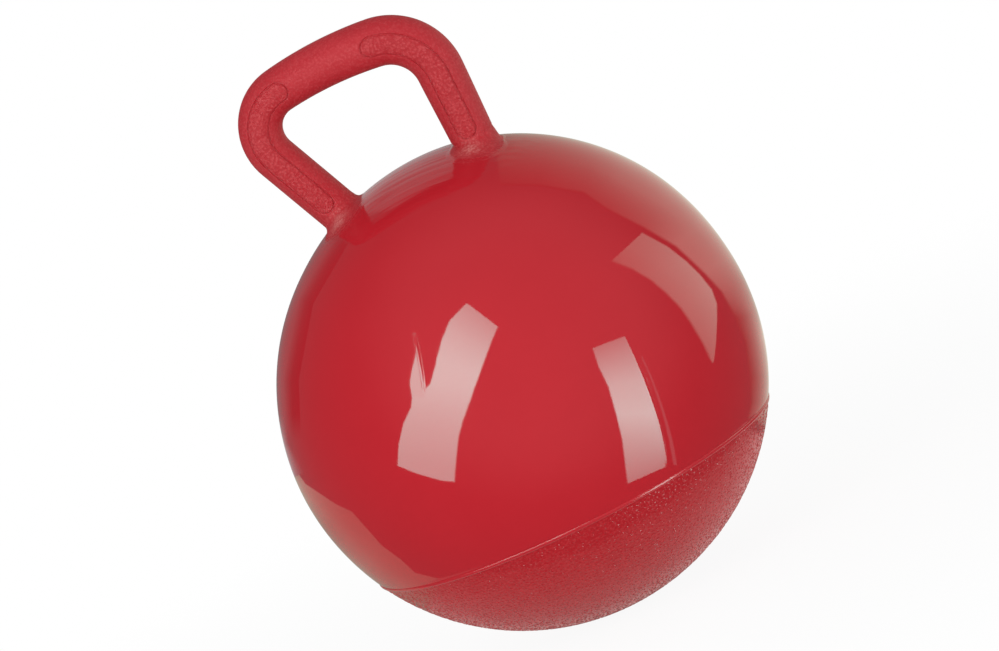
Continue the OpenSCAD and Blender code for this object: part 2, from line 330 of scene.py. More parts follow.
def makeDome():
    # More columns where the crease, the mould line and the valve are
    coarse = np.arange(-180, 180, dome["columnStep"])
    for first, last, _ in dome["fineColumns"]:
        coarse = coarse[(coarse < first - dome["columnGap"]) | (coarse > last + dome["columnGap"])]
    columns = np.radians(np.sort(np.concatenate([coarse] + [steps(*part) for part in dome["fineColumns"]])))
    low = math.degrees(seamLatitude)
    first, last, step = dome["fineRows"]
    rows = np.radians(np.concatenate([
        steps(low + first, low + last, step),
        steps(low + dome["plainRows"], dome["lastRow"], dome["rowStep"] / perDegree)]))
    ways = toSphere(*np.meshgrid(columns, rows)).reshape(-1, 3)
    wide = len(columns)
    faces = gridFaces(len(rows), wide, closed=True)
    # The cells round the valve make way for a patch that ends in its round hole
    c = np.flatnonzero(np.abs(np.degrees(columns) - ball["valveLongitude"]) < dome["valveColumns"])
    r = np.flatnonzero(np.abs(np.degrees(rows) - ball["valveLatitude"]) < dome["valvePatch"] / perDegree)
    c0, c1, r0, r1 = c[0], c[-1], r[0], r[-1]
    faceRow, faceColumn = np.divmod(np.arange(len(faces)), wide)
    faces = faces[~((faceRow >= r0) & (faceRow < r1) & (faceColumn >= c0) & (faceColumn < c1))]
    rim = [(r0, k) for k in range(c0, c1)] + [(k, c1) for k in range(r0, r1)]
    rim += [(r1, k) for k in range(c1, c0, -1)] + [(k, c0) for k in range(r1, r0, -1)]
    rim = [i * wide + k for i, k in rim]
    side, up, axis = valveAxes
    turn = np.arctan2(ways[rim] @ up, ways[rim] @ side)[:, None]
    away = np.arccos(ways[rim] @ axis)[:, None]
    rings = []
    for t in np.linspace(0, 1, dome["valveRings"])[1:]:
        angle = away + (dome["valveHole"] / ball["radius"] - away) * t
        rings.append(np.cos(angle) * axis + np.sin(angle) * (np.cos(turn) * side + np.sin(turn) * up))
    around = np.arange(len(rim))
    allRings = np.array([rim] + [around + len(ways) + k * len(rim) for k in range(len(rings))])
    patch = allRings.ravel()[gridFaces(len(allRings), len(rim), closed=True)]
    skin = domeSkin(np.concatenate([ways] + rings))
    wall = skin[-len(rim):] * (1 - ball["skin"] / ball["radius"])
    edge = np.array([allRings[-1], around + len(skin)]).ravel()[gridFaces(2, len(rim), closed=True)]
    points = np.concatenate([skin, wall, domeSkin(np.array([[0, 0, 1.0]]))])
    top = (len(rows) - 1) * wide
    cap = [(top + k, top + (k + 1) % wide, len(points) - 1) for k in range(wide)]
    return makePiece("polishedDome", points, [*faces, *patch, *edge, *cap], glossVinyl, outward=False)


setOn(makeDome(), "ball", "gloss_vinyl", "upper_shell")


# Bead: the raised line of the moulding seam, a little uneven along its way
bead = {
    "width": 4.4, "height": 0.9, "roundness": 0.8, "foot": 0.5, "inside": 0.4,
    "rows": 15, "columns": 900, "waver": 0.07, "waverSize": 45, "waverSeed": 9,
}


def makeBead():
    across = np.linspace(-1, 1, bead["rows"])
    rise = bead["height"] * np.cos(across * math.pi / 2) ** bead["roundness"]
    rise[[0, -1]] = -bead["foot"]
    latitude = seamLatitude + across * bead["width"] / 2 / ball["radius"]
    ways = toSphere(*np.meshgrid(fullTurn(bead["columns"]), latitude))
    crest = ways[bead["rows"] // 2] * ball["radius"]
    uneven = 1 + bead["waver"] * softNoise(crest, bead["waverSize"], bead["waverSeed"])
    points = ways * (ball["radius"] + rise[:, None] * uneven)[..., None]
    inner = ways[[-1, 0]] * (ball["radius"] - bead["foot"] - bead["inside"])
    return makeRings("seamBead", np.concatenate([points, inner, points[:1]]), rubbedVinyl)


setOn(makeBead(), "ball", "gloss_vinyl", "seam_bead")


# Grain: short moulded ridges scattered over a surface, each turned its own way
ridge = {
    "shoulder": 0.32, "crest": 0.3, "root": 0.3,  # of a ridge of length, width and height 1
    "least": (0.7, 0.8, 0.6), "most": (1.25, 1.15, 1.1), "crowd": 4.0,
}


def makeRidge():
    s, c = ridge["shoulder"], ridge["crest"]
    base = [(-0.5, 0), (-s, -0.5), (s, -0.5), (0.5, 0), (s, 0.5), (-s, 0.5)]
    mesh = bpy.data.meshes.new("ridge")
    mesh.from_pydata([(x, y, -ridge["root"]) for x, y in base] + [(-c, 0, 1), (c, 0, 1)], [],
                     [(0, 1, 6), (1, 2, 7, 6), (2, 3, 7), (3, 4, 7), (4, 5, 6, 7), (5, 0, 6)])
    # Flat ends, so a glint runs along the whole crest
    mesh.polygons.foreach_set("use_smooth", [len(f.vertices) == 4 for f in mesh.polygons])
    return bpy.data.objects.new("ridge", mesh)


def makeGrainTree():
    tree = bpy.data.node_groups.new("mouldedGrain", "GeometryNodeTree")
    add = functools.partial(addNode, tree)
    for name, kind in (
            ("Geometry", "Geometry"), ("Ridge", "Object"), ("Spacing", "Float"), ("Length", "Float"),
            ("Width", "Float"), ("Height", "Float"), ("Seed", "Int"), ("Material", "Material")):
        tree.interface.new_socket(name, in_out="INPUT", socket_type="NodeSocket" + kind)
    tree.interface.new_socket("Geometry", in_out="OUTPUT", socket_type="NodeSocketGeometry")
    given = add("NodeGroupInput").outputs
    area = add("GeometryNodeInputNamedAttribute", {"Name": "grainArea"}, data_type="BOOLEAN")
    perArea = add("ShaderNodeMath", {0: given["Spacing"], 1: -2.0}, operation="POWER")
    crowd = add("ShaderNodeMath", {0: perArea, 1: ridge["crowd"]}, operation="MULTIPLY")
    points = add("GeometryNodeDistributePointsOnFaces", {
        "Mesh": given["Geometry"], "Selection": area, "Distance Min": given["Spacing"],
        "Density Max": crowd, "Seed": given["Seed"]}, distribute_method="POISSON")
    # Sockets 2 and 3 and output 1 of a random value are its numbers, 0 and 1 and output 0 its vectors
    angle = add("FunctionNodeRandomValue", {2: 0.0, 3: math.pi, "Seed": given["Seed"]}, data_type="FLOAT")
    turn = add("FunctionNodeAxisAngleToRotation", {"Axis": (0, 0, 1), "Angle": angle.outputs[1]})
    turned = add("FunctionNodeRotateRotation", {
        "Rotation": points.outputs["Rotation"], "Rotate By": turn}, rotation_space="LOCAL")
    size = add("ShaderNodeCombineXYZ", {"X": given["Length"], "Y": given["Width"], "Z": given["Height"]})
    vary = add("FunctionNodeRandomValue", {
        0: ridge["least"], 1: ridge["most"], "Seed": given["Seed"]}, data_type="FLOAT_VECTOR")
    scale = add("ShaderNodeVectorMath", {0: size, 1: vary}, operation="MULTIPLY")
    shape = add("GeometryNodeObjectInfo", {"Object": given["Ridge"]})
    ridges = add("GeometryNodeInstanceOnPoints", {
        "Points": points, "Instance": shape.outputs["Geometry"], "Rotation": turned, "Scale": scale})
    both = add("GeometryNodeJoinGeometry", {"Geometry": given["Geometry"]})
    tree.links.new(ridges.outputs[0], both.inputs[0])
    real = add("GeometryNodeRealizeInstances", {"Geometry": both})
    painted = add("GeometryNodeSetMaterial", {"Geometry": real, "Material": given["Material"]})
    add("NodeGroupOutput", {"Geometry": painted})
    return tree


ridgeShape = makeRidge()
grainTree = makeGrainTree()


# Grows the grain on the marked faces of a piece and makes the result its plain mesh
def growGrain(piece, faceMask, sizes, seed, material):
    mask = piece.data.attributes.new("grainArea", "BOOLEAN", "FACE")
    mask.data.foreach_set("value", faceMask)
    values = {"Ridge": ridgeShape, "Seed": seed, "Material": material}
    values.update({name: sizes[name.lower()] * 0.001 for name in ("Spacing", "Length", "Width", "Height")})
    grower = piece.modifiers.new("grain", "NODES")
    grower.node_group = grainTree
    for item in grainTree.interface.items_tree:
        if item.in_out == "INPUT" and item.name in values:
            grower[item.identifier] = values[item.name]
    grown = bpy.data.meshes.new_from_object(piece.evaluated_get(bpy.context.evaluated_depsgraph_get()))
    piece.modifiers.remove(grower)
    piece.data = grown


# Base: the grained cap below the seam, pressed flat where it stands
base = {
    "spacing": 3.4, "length": 4.8, "width": 2.4, "height": 0.4, "seed": 11,
    "rows": 64, "columns": 200, "patchInner": 0.97,
    "bareBelow": 1.2, "bareAbove": 2.8,  # without grain, above the floor and below the seam
}


def makeBase():
    patchLatitude = -math.acos(ball["patchRadius"] / ball["radius"])
    latitude = np.linspace(patchLatitude, seamLatitude, base["rows"])
    rows = toSphere(*np.meshgrid(fullTurn(base["columns"]), latitude)) * (ball["radius"] - ball["shrink"])
    rows[0, :, 2] = -ball["middleZ"]
    inner = rows[:1] * [base["patchInner"], base["patchInner"], 1]
    points = np.concatenate([inner, rows]).reshape(-1, 3)
    faces = [*gridFaces(base["rows"] + 1, base["columns"], closed=True), range(base["columns"] - 1, -1, -1)]
    piece = makePiece("grainedBase", points, faces, grainedVinyl, outward=False)
    middles = np.array([f.center.z for f in piece.data.polygons]) * 1000 - ball["middleZ"]
    grown = (middles > base["bareBelow"] - ball["middleZ"]) & (middles < -base["bareAbove"] - ball["seamDrop"])
    growGrain(piece, grown, base, base["seed"], grainedVinyl)
    return piece


setOn(makeBase(), "ball", "grained_vinyl", "base_shell")


# Hoop: the hollow handle, laid out in its own XZ plane from the left foot over the bar to the right foot
hoop = {
    "footSpread": 137.5, "rise": 121.0, "sway": 24.0, "splay": 12.3,
    "bend": {-1: 39.5, 1: 48.5}, "archRadius": 360.0,  # -1 is the left side and 1 the right one
    "tilt": 1.6, "lean": 4.0,  # degrees, to the left and to the front
    "footRadius": 20.1, "barRadius": 21.7, "bendRadius": {-1: 20.2, 1: 22.4},  # the soft left bend is drawn thinner
    # How far after each bend it is as thick as the bar, and how its thickness is smoothed
    "barAfter": {-1: 55, 1: 10}, "blendSteps": 900, "blendOver": 61, "blendBeyond": 20,
    # Fillets of the feet, with a hem under the skin, their painted highlight spots and where the matte finish begins
    "flareFront": 36.0, "flareSide": 5.0, "flareTop": 8.5, "flareFocus": 2.0, "flareBack": 0.5, "flareLip": 0.03,
    "flareRows": 22, "flareLies": 0.5, "hemDrop": [0.05, 0.2, 1.5], "hemSpread": [0.2, 0.3, 0.3],
    "footHighlight": 0.5, "footHighlightAside": -3, "footHighlightAhead": 30, "footHighlightSize": (10, 8), "footHighlightBelow": 12, "matte": (-0.1, 0.5),
    # Pockets of the grip panels, and rows that are closer together at their ends
    "panelStart": 22.8, "panelRun": 1.5, "panelWidth": 17.5, "groove": 1.3, "pocket": 1.2, "pocketEdge": (0.2, -0.15),
    "rowStep": 1.7, "fineStep": 0.35, "fineZone": 10.8, "footGap": 0.5, "sideLines": 26,
    # Lines along the tube, close together at the grooves
    "lines": [0, 2, 4, 6, 7.2, 8.2, 9, 9.5, 9.8, 9.92, 10.05, 10.18, 10.3, 10.42, 10.8, 11.5, 12.4],
}
arch = np.array([-hoop["sway"], ball["radius"] + hoop["rise"] - hoop["archRadius"]])


# One leg, up to where its bend can run on smoothly into the arched bar
def legOf(side):
    bend = hoop["bend"][side]
    foot = np.array([side * hoop["footSpread"] / 2, math.sqrt(ball["radius"] ** 2 - hoop["footSpread"] ** 2 / 4)])
    slope = hoop["sway"] / (ball["radius"] + hoop["rise"] - foot[1])
    lean = math.atan(math.tan(math.radians(hoop["splay"])) - side * slope)
    way = np.array([side * math.sin(lean), math.cos(lean)])
    reach = foot + bend * np.array([-side * math.cos(lean), math.sin(lean)]) - arch
    length = math.sqrt((reach @ way) ** 2 - reach @ reach + (hoop["archRadius"] - bend) ** 2) - reach @ way
    middle = arch + reach + length * way
    return {"foot": foot, "way": way, "length": length, "middle": middle,
            "start": -lean if side > 0 else math.pi + lean, "end": math.atan2(*(middle - arch)[::-1])}


legs = {side: legOf(side) for side in (-1, 1)}
bends = {side: abs(legs[side]["end"] - legs[side]["start"]) * hoop["bend"][side] for side in (-1, 1)}
barLength = (legs[-1]["end"] - legs[1]["end"]) * hoop["archRadius"]
# Distances along the hoop where its leg, bend, bar, bend and leg end
stretches = np.cumsum([0, legs[-1]["length"], bends[-1], barLength, bends[1], legs[1]["length"]])
hoopLength = stretches[-1]
# Middles of the round ends of the two panels, along the hoop
panelEnds = [(hoop["panelStart"], stretches[2] + hoop["panelRun"]),
             (stretches[3] - hoop["panelRun"], hoopLength - hoop["panelStart"])]


# Middle of the tube and the way out of the hoop, at distances along it
def hoopPath(along):
    middle, angle = np.zeros((len(along), 2)), np.zeros(len(along))
    part = np.clip(np.searchsorted(stretches, along, side="right") - 1, 0, 4)
    run = along - stretches[part]
    for p, side in ((0, -1), (4, 1)):
        k, leg = part == p, legs[side]
        up = run[k] if side < 0 else leg["length"] - run[k]
        middle[k] = leg["foot"] + up[:, None] * leg["way"]
        angle[k] = leg["start"]
    for p, centre, radius, start in (
            (1, legs[-1]["middle"], hoop["bend"][-1], legs[-1]["start"]), (2, arch, hoop["archRadius"], legs[-1]["end"]),
            (3, legs[1]["middle"], hoop["bend"][1], legs[1]["end"])):
        k = part == p
        angle[k] = start - run[k] / radius
        middle[k] = centre + radius * np.stack([np.cos(angle[k]), np.sin(angle[k])], -1)
    return middle, np.stack([np.cos(angle), np.sin(angle)], -1)


def tubeRadius(along):
    s, foot, bar, bend, after = stretches, *(hoop[k] for k in ("footRadius", "barRadius", "bendRadius", "barAfter"))
    knots = [(0, foot), (s[1], bend[-1]), ((s[1] + s[2]) / 2, bend[-1]), (s[2] + after[-1], bar),
             (s[3], bend[1]), ((s[3] + s[4]) / 2, bend[1]), (s[4] + after[1], bar), (s[5], foot)]
    fine = np.linspace(-hoop["blendBeyond"], hoopLength + hoop["blendBeyond"], hoop["blendSteps"])
    window = np.hanning(hoop["blendOver"])
    soft = np.convolve(np.interp(fine, *zip(*knots)), window / window.sum(), "same")
    trim = len(window) // 2
    return np.interp(along, fine[trim:-trim], soft[trim:-trim])


# From the hoop's own plane to the ball, leaning to the front and to one side
def leanOver(points):
    lean, tilt = math.radians(hoop["lean"]), math.radians(hoop["tilt"])
    x, y, z = np.moveaxis(points, -1, 0)
    y, z = y * math.cos(lean) - z * math.sin(lean), y * math.sin(lean) + z * math.cos(lean)
    return np.stack([x * math.cos(tilt) - z * math.sin(tilt), y, x * math.sin(tilt) + z * math.cos(tilt)], -1)


# How far places along the hoop lie beyond the middles of a panel's ends
def beyondEnds(along, ends):
    return np.maximum(np.maximum(ends[0] - along, along - ends[1]), 0)


# Distance from the outline of a panel of the given half width, less than zero inside it
def panelDistance(along, aside, ends, halfWidth):
    return np.hypot(beyondEnds(along, ends), aside) - halfWidth


# Points of the tube's skin in the hoop's plane, from angles that start at the front
def tubeSkin(middle, out, radius, angle):
    flat = middle[:, None, :] + (radius * np.sin(angle))[..., None] * out[:, None, :]
    return np.stack([flat[..., 0], -radius * np.cos(angle), flat[..., 1]], -1)


# A foot: from the leg's own rings into a fillet that lies on the skin, long at the front and short at the sides
def makeFoot(side, radius, angles):
    leg, facing, focus = legs[side], np.cos(angles), hoop["flareFocus"]
    front, flank, top = hoop["flareFront"], hoop["flareSide"], hoop["flareTop"]
    ahead = np.clip(facing, 0, 1) ** focus + hoop["flareBack"] * np.clip(-facing, 0, 1) ** focus
    reach, climb = flank + (front - flank) * ahead, flank + (top - flank) * ahead
    fall = 1 - np.sin(np.linspace(0, math.pi / 2, hoop["flareRows"]))
    height = top * fall[:, None] + hoop["flareLip"]
    spread = radius + reach * (1 - np.sqrt(1 - np.clip(1 - height / climb, 0, 1) ** 2))
    height = np.concatenate([height, height[-1:] - np.array(hoop["hemDrop"])[:, None]])
    spread = np.concatenate([spread, spread[-1:] + np.array(hoop["hemSpread"])[:, None]])
    foot = leanOver(np.insert(leg["foot"], 1, 0)[None] / ball["radius"])
    outWay = np.array([math.cos(leg["start"]), math.sin(leg["start"])])
    up = (domePull(foot)[0] + height) / (leg["way"] @ leg["foot"] / ball["radius"])
    middles, outs = leg["foot"] + up * leg["way"], np.repeat(outWay[None], len(up), 0)
    onLeg = leanOver(tubeSkin(middles, outs, spread, angles[None, :]))
    # The same rings wrapped round the ball
    ways = leanOver(np.array([[0, -1.0, 0], np.insert(outWay, 1, 0)]))
    ways = unit(ways - (ways @ foot[0])[:, None] * foot)
    spoke = np.cos(angles)[:, None] * ways[0] + np.sin(angles)[:, None] * ways[1]
    turn = (spread / ball["radius"])[..., None]
    onSkin = np.cos(turn) * foot[0] + np.sin(turn) * spoke[None]
    skin = np.linalg.norm(domeSkin(onSkin.reshape(-1, 3)), axis=1).reshape(spread.shape)
    onSkin *= (skin + height)[..., None]
    lies = smoothStep(top, hoop["flareLies"], height)[..., None]
    return onLeg + (onSkin - onLeg) * lies, up[0, 0]


def makeHoop():
    zones = [(ends[k] + (k * 2 - 1) * hoop["fineZone"], ends[k]) for ends in panelEnds for k in (0, 1)]
    lines = np.array(hoop["lines"])
    lines = np.concatenate([-lines[:0:-1], lines])

    def anglesAt(radius):
        front = np.arcsin(lines[None, :] / radius[:, None])
        edge = front[:, -1:]
        sides = edge + (math.pi - 2 * edge) * np.linspace(0, 1, hoop["sideLines"])[1:-1]
        return np.concatenate([front, sides, math.pi - front[:, ::-1], -sides[:, ::-1]], 1)

    feet = {}
    for side, at in ((-1, 0.0), (1, hoopLength)):
        radius = tubeRadius(np.array([at]))
        feet[side] = makeFoot(side, radius[0], anglesAt(radius)[0])
    low, high = feet[-1][1] + hoop["footGap"], hoopLength - feet[1][1] - hoop["footGap"]
    plain = steps(low, high, hoop["rowStep"])
    for zone in zones:
        plain = plain[(plain < min(zone)) | (plain > max(zone))]
    fine = [steps(max(min(zone), low), min(max(zone), high), hoop["fineStep"]) for zone in zones]
    along = np.sort(np.concatenate([plain] + fine))
    radius = tubeRadius(along)
    angles = anglesAt(radius)
    aside = radius[:, None] * np.sin(angles)
    sunk = np.zeros_like(angles)
    for ends in panelEnds:
        away = panelDistance(along[:, None], aside, ends, hoop["panelWidth"] / 2 + hoop["groove"])
        sunk = np.maximum(sunk, hoop["pocket"] * smoothStep(*hoop["pocketEdge"], away))
    tube = leanOver(tubeSkin(*hoopPath(along), radius[:, None] - sunk, angles))
    piece = makeRings("hoopHandle", np.concatenate([feet[-1][0][::-1], tube, feet[1][0]]), matteVinyl, capped=True)
    spots = np.array([v.co for v in piece.data.vertices]) * 1000 - [0, 0, ball["middleZ"]]
    above = np.linalg.norm(spots, axis=1) - ball["radius"] - domePull(unit(spots))
    matte = smoothStep(*hoop["matte"], above)
    # A pale spot of painted highlight lies on the front of the fillets
    footHighlight = np.zeros(len(spots))
    axes = leanOver(np.array([[1.0, 0, 0], [0, -1.0, 0]]))
    for side in (-1, 1):
        aside, ahead = axes @ (spots - leanOver(np.insert(legs[side]["foot"], 1, 0))).T
        aside = (aside - hoop["footHighlightAside"]) / hoop["footHighlightSize"][0]
        ahead = (ahead - hoop["footHighlightAhead"]) / hoop["footHighlightSize"][1]
        footHighlight += np.exp(-aside ** 2 - ahead ** 2) * (above < hoop["footHighlightBelow"])
    for name, values in (("matte", matte), ("footHighlight", hoop["footHighlight"] * footHighlight)):
        piece.data.attributes.new(name, "FLOAT", "POINT").data.foreach_set("value", values)
    return piece


setOn(makeHoop(), "ball", "matte_vinyl", "handle_loop")


# Grip panels: grained strips that fill the pockets, two at the front and two at the back
grip = {
    "spacing": 1.8, "length": 1.9, "width": 1.5, "height": 0.2, "facing": 0.6,
    "round": 0.7, "roundDrop": 0.4, "sink": 0.12, "low": 1.05,
    "columns": 26, "rowStep": 1.5, "tipRows": 16, "tipStart": 0.02,
}


# Face is -1 at the front and 1 at the back
def makeGrip(name, ends, face, seed):
    half = hoop["panelWidth"] / 2
    tip = half * (1 - np.cos(np.linspace(grip["tipStart"], math.pi / 2, grip["tipRows"])))
    straight = steps(ends[0], ends[1], grip["rowStep"])[1:-1]
    along = np.concatenate([ends[0] - half + tip, straight, (ends[1] + half - tip)[::-1]])
    halfWidth = np.sqrt(np.maximum(half ** 2 - beyondEnds(along, ends) ** 2, 0))
    aside = halfWidth[:, None] * np.sin(np.linspace(-1, 1, grip["columns"]) * math.pi / 2)
    radius = tubeRadius(along)[:, None]
    angle = np.arcsin(aside / radius)
    inward = np.clip(-panelDistance(along[:, None], aside, ends, half), 0, grip["round"]) / grip["round"]
    drop = grip["sink"] + grip["roundDrop"] * (1 - np.sqrt(1 - (1 - inward) ** 2))
    sheets = [tubeSkin(*hoopPath(along), radius - depth, angle) * [1, -face, 1] for depth in (drop, grip["low"])]
    rows, wide = aside.shape
    faces, count = gridFaces(rows, wide), rows * wide
    border = [*range(wide), *range(2 * wide - 1, count, wide)]
    border += [*range(count - 2, count - wide - 1, -1), *range(count - 2 * wide, 0, -wide)]
    skirt = [(a, b, b + count, a + count) for a, b in zip(border, border[1:] + border[:1])]
    points = leanOver(np.concatenate([s.reshape(-1, 3) for s in sheets]))
    piece = makePiece(name, points, [*faces, *(faces + count)[:, ::-1], *skirt], gripVinyl)
    grown = np.array([f.normal.y * face for f in piece.data.polygons]) > grip["facing"]
    growGrain(piece, grown, grip, seed, gripVinyl)
    return piece


for name, node, ends, face, seed in (
        ("frontLeftGrip", "front_left_grip", panelEnds[0], -1, 21),
        ("frontRightGrip", "front_right_grip", panelEnds[1], -1, 22),
        ("rearLeftGrip", "rear_left_grip", panelEnds[0], 1, 23),
        ("rearRightGrip", "rear_right_grip", panelEnds[1], 1, 24)):
    setOn(makeGrip(name, ends, face, seed), "ball", "grip_vinyl", node)


# Valve: turned shapes on an axis at the back, given as radius, distance from the ball's middle and edge rounding
valve = {
    "turns": 96, "easePoints": 5, "easeMost": 0.45,
    "seat": [(4.5, 208.0, 0.3), (4.5, 222.1, 0.4), (8.4, 222.1, 0.3), (8.4, 224.85, 0.4), (13.0, 224.62, 0.35),
             (13.0, 208.0, 0.3)],
    "stopper": [(0.01, 223.5, 0), (2.2, 223.66, 0.6), (4.0, 224.42, 0.5), (8.0, 224.5, 0.7), (8.0, 222.15, 0.5),
                (4.45, 222.15, 0.3), *[(r, h - down, ease) for h in (219.2, 215.8, 212.4) for r, down, ease in (
                    (4.45, 0, 0.2), (3.7, 0.5, 0.3), (4.45, 1, 0.2))],  # three grooves
                (4.45, 208.6, 0.4), (2.3, 204.1, 0.5), (0.01, 204.1, 0)],
}


# A profile with each corner replaced by a short curve; a corner with no rounding stays
def eased(profile):
    corners = np.array([p[:2] for p in profile])
    made = []
    for i, (_, _, ease) in enumerate(profile):
        last, here, following = corners[i - 1], corners[i], corners[(i + 1) % len(corners)]
        if ease == 0:
            made.append(here)
            continue
        ways = np.array([last, following]) - here
        a, b = (here + way * min(ease / np.linalg.norm(way), valve["easeMost"]) for way in ways)
        for t in np.linspace(0, 1, valve["easePoints"]):
            made.append((1 - t) ** 2 * a + 2 * t * (1 - t) * here + t * t * b)
    return np.array(made)


def turnPiece(name, profile, closed, material):
    outline = eased(profile)
    side, up, axis = valveAxes
    turns = fullTurn(valve["turns"])[:, None]
    spokes = np.cos(turns) * side + np.sin(turns) * up
    rows = outline[:, :1, None] * spokes[None] + outline[:, 1, None, None] * axis
    if closed:
        rows = np.concatenate([rows, rows[:1]])
    return makeRings(name, rows, material, capped=not closed)


setOn(turnPiece("valveSeat", valve["seat"], True, seatVinyl), "ball", "valve_vinyl", "valve_seat")
setOn(turnPiece("valveStopper", valve["stopper"], False, stopperPlastic), "stopper", "plug_plastic", "valve_plug")


# Camera: set by the outline of the ball and its handle in the photograph
view = {
    "size": (999, 651), "focal": 4373.5, "ballMiddle": (522.5, 384.2), "beyondBall": 255,  # pixels
    "sensor": 36, "clipEnd": 50, "place": (0.66489, -3.90122, 0.80830),
    # To the right, up and back
    "axes": [(0.893315, 0.091712, -0.439975), (0.417925, 0.190570, 0.888269), (0.165311, -0.977380, 0.131910)],
}
viewAxes = np.array(view["axes"])
camera = bpy.data.objects.new("photoCamera", bpy.data.cameras.new("photoCamera"))
bpy.context.collection.objects.link(camera)
camera.data.sensor_width = view["sensor"]
camera.data.lens = view["focal"] / view["size"][0] * view["sensor"]
camera.data.clip_end = view["clipEnd"]
camera.matrix_world = Matrix.Translation(view["place"]) @ Matrix(view["axes"]).transposed().to_4x4()
bpy.context.scene.camera = camera
print("camera set")


# Studio: white paper all round, a soft even light, and cards that only the gloss sees
studio = {
    "ambient": 0.54, "keySize": 1.1, "keyAim": (0, 0, 0.25),
    "keys": {"keyLeft": ((-0.9, -1.9, 1.1), 18.5), "keyRight": ((1.6, -1.6, 0.5), 12.5)},  # place and power
    "floorRadius": 1.5, "floorTurns": 96, "floorDrop": 0.5, "floorColour": "#F4F4F4", "floorWhite": 0.93,
    "floorFade": {"From Min": 0.3, "From Max": 1.425},  # metres from its middle
    "roomDim": 0.16, "roomFront": 0.41, "roomEdge": {"From Min": 0.14, "From Max": 0.83}, "roomUp": 0.5,
    "roomRadius": 3000, "roomTurns": 64, "roomRows": 48, "roomPole": 0.001,
    "cardDistance": 1.6, "cardRows": 9, "cardSteps": 6, "softBehind": 1.02, "softPart": 3, "mirrorRounds": 4,
    "backRadius": 330, "backTurns": 48, "backGlow": 0.4,
}
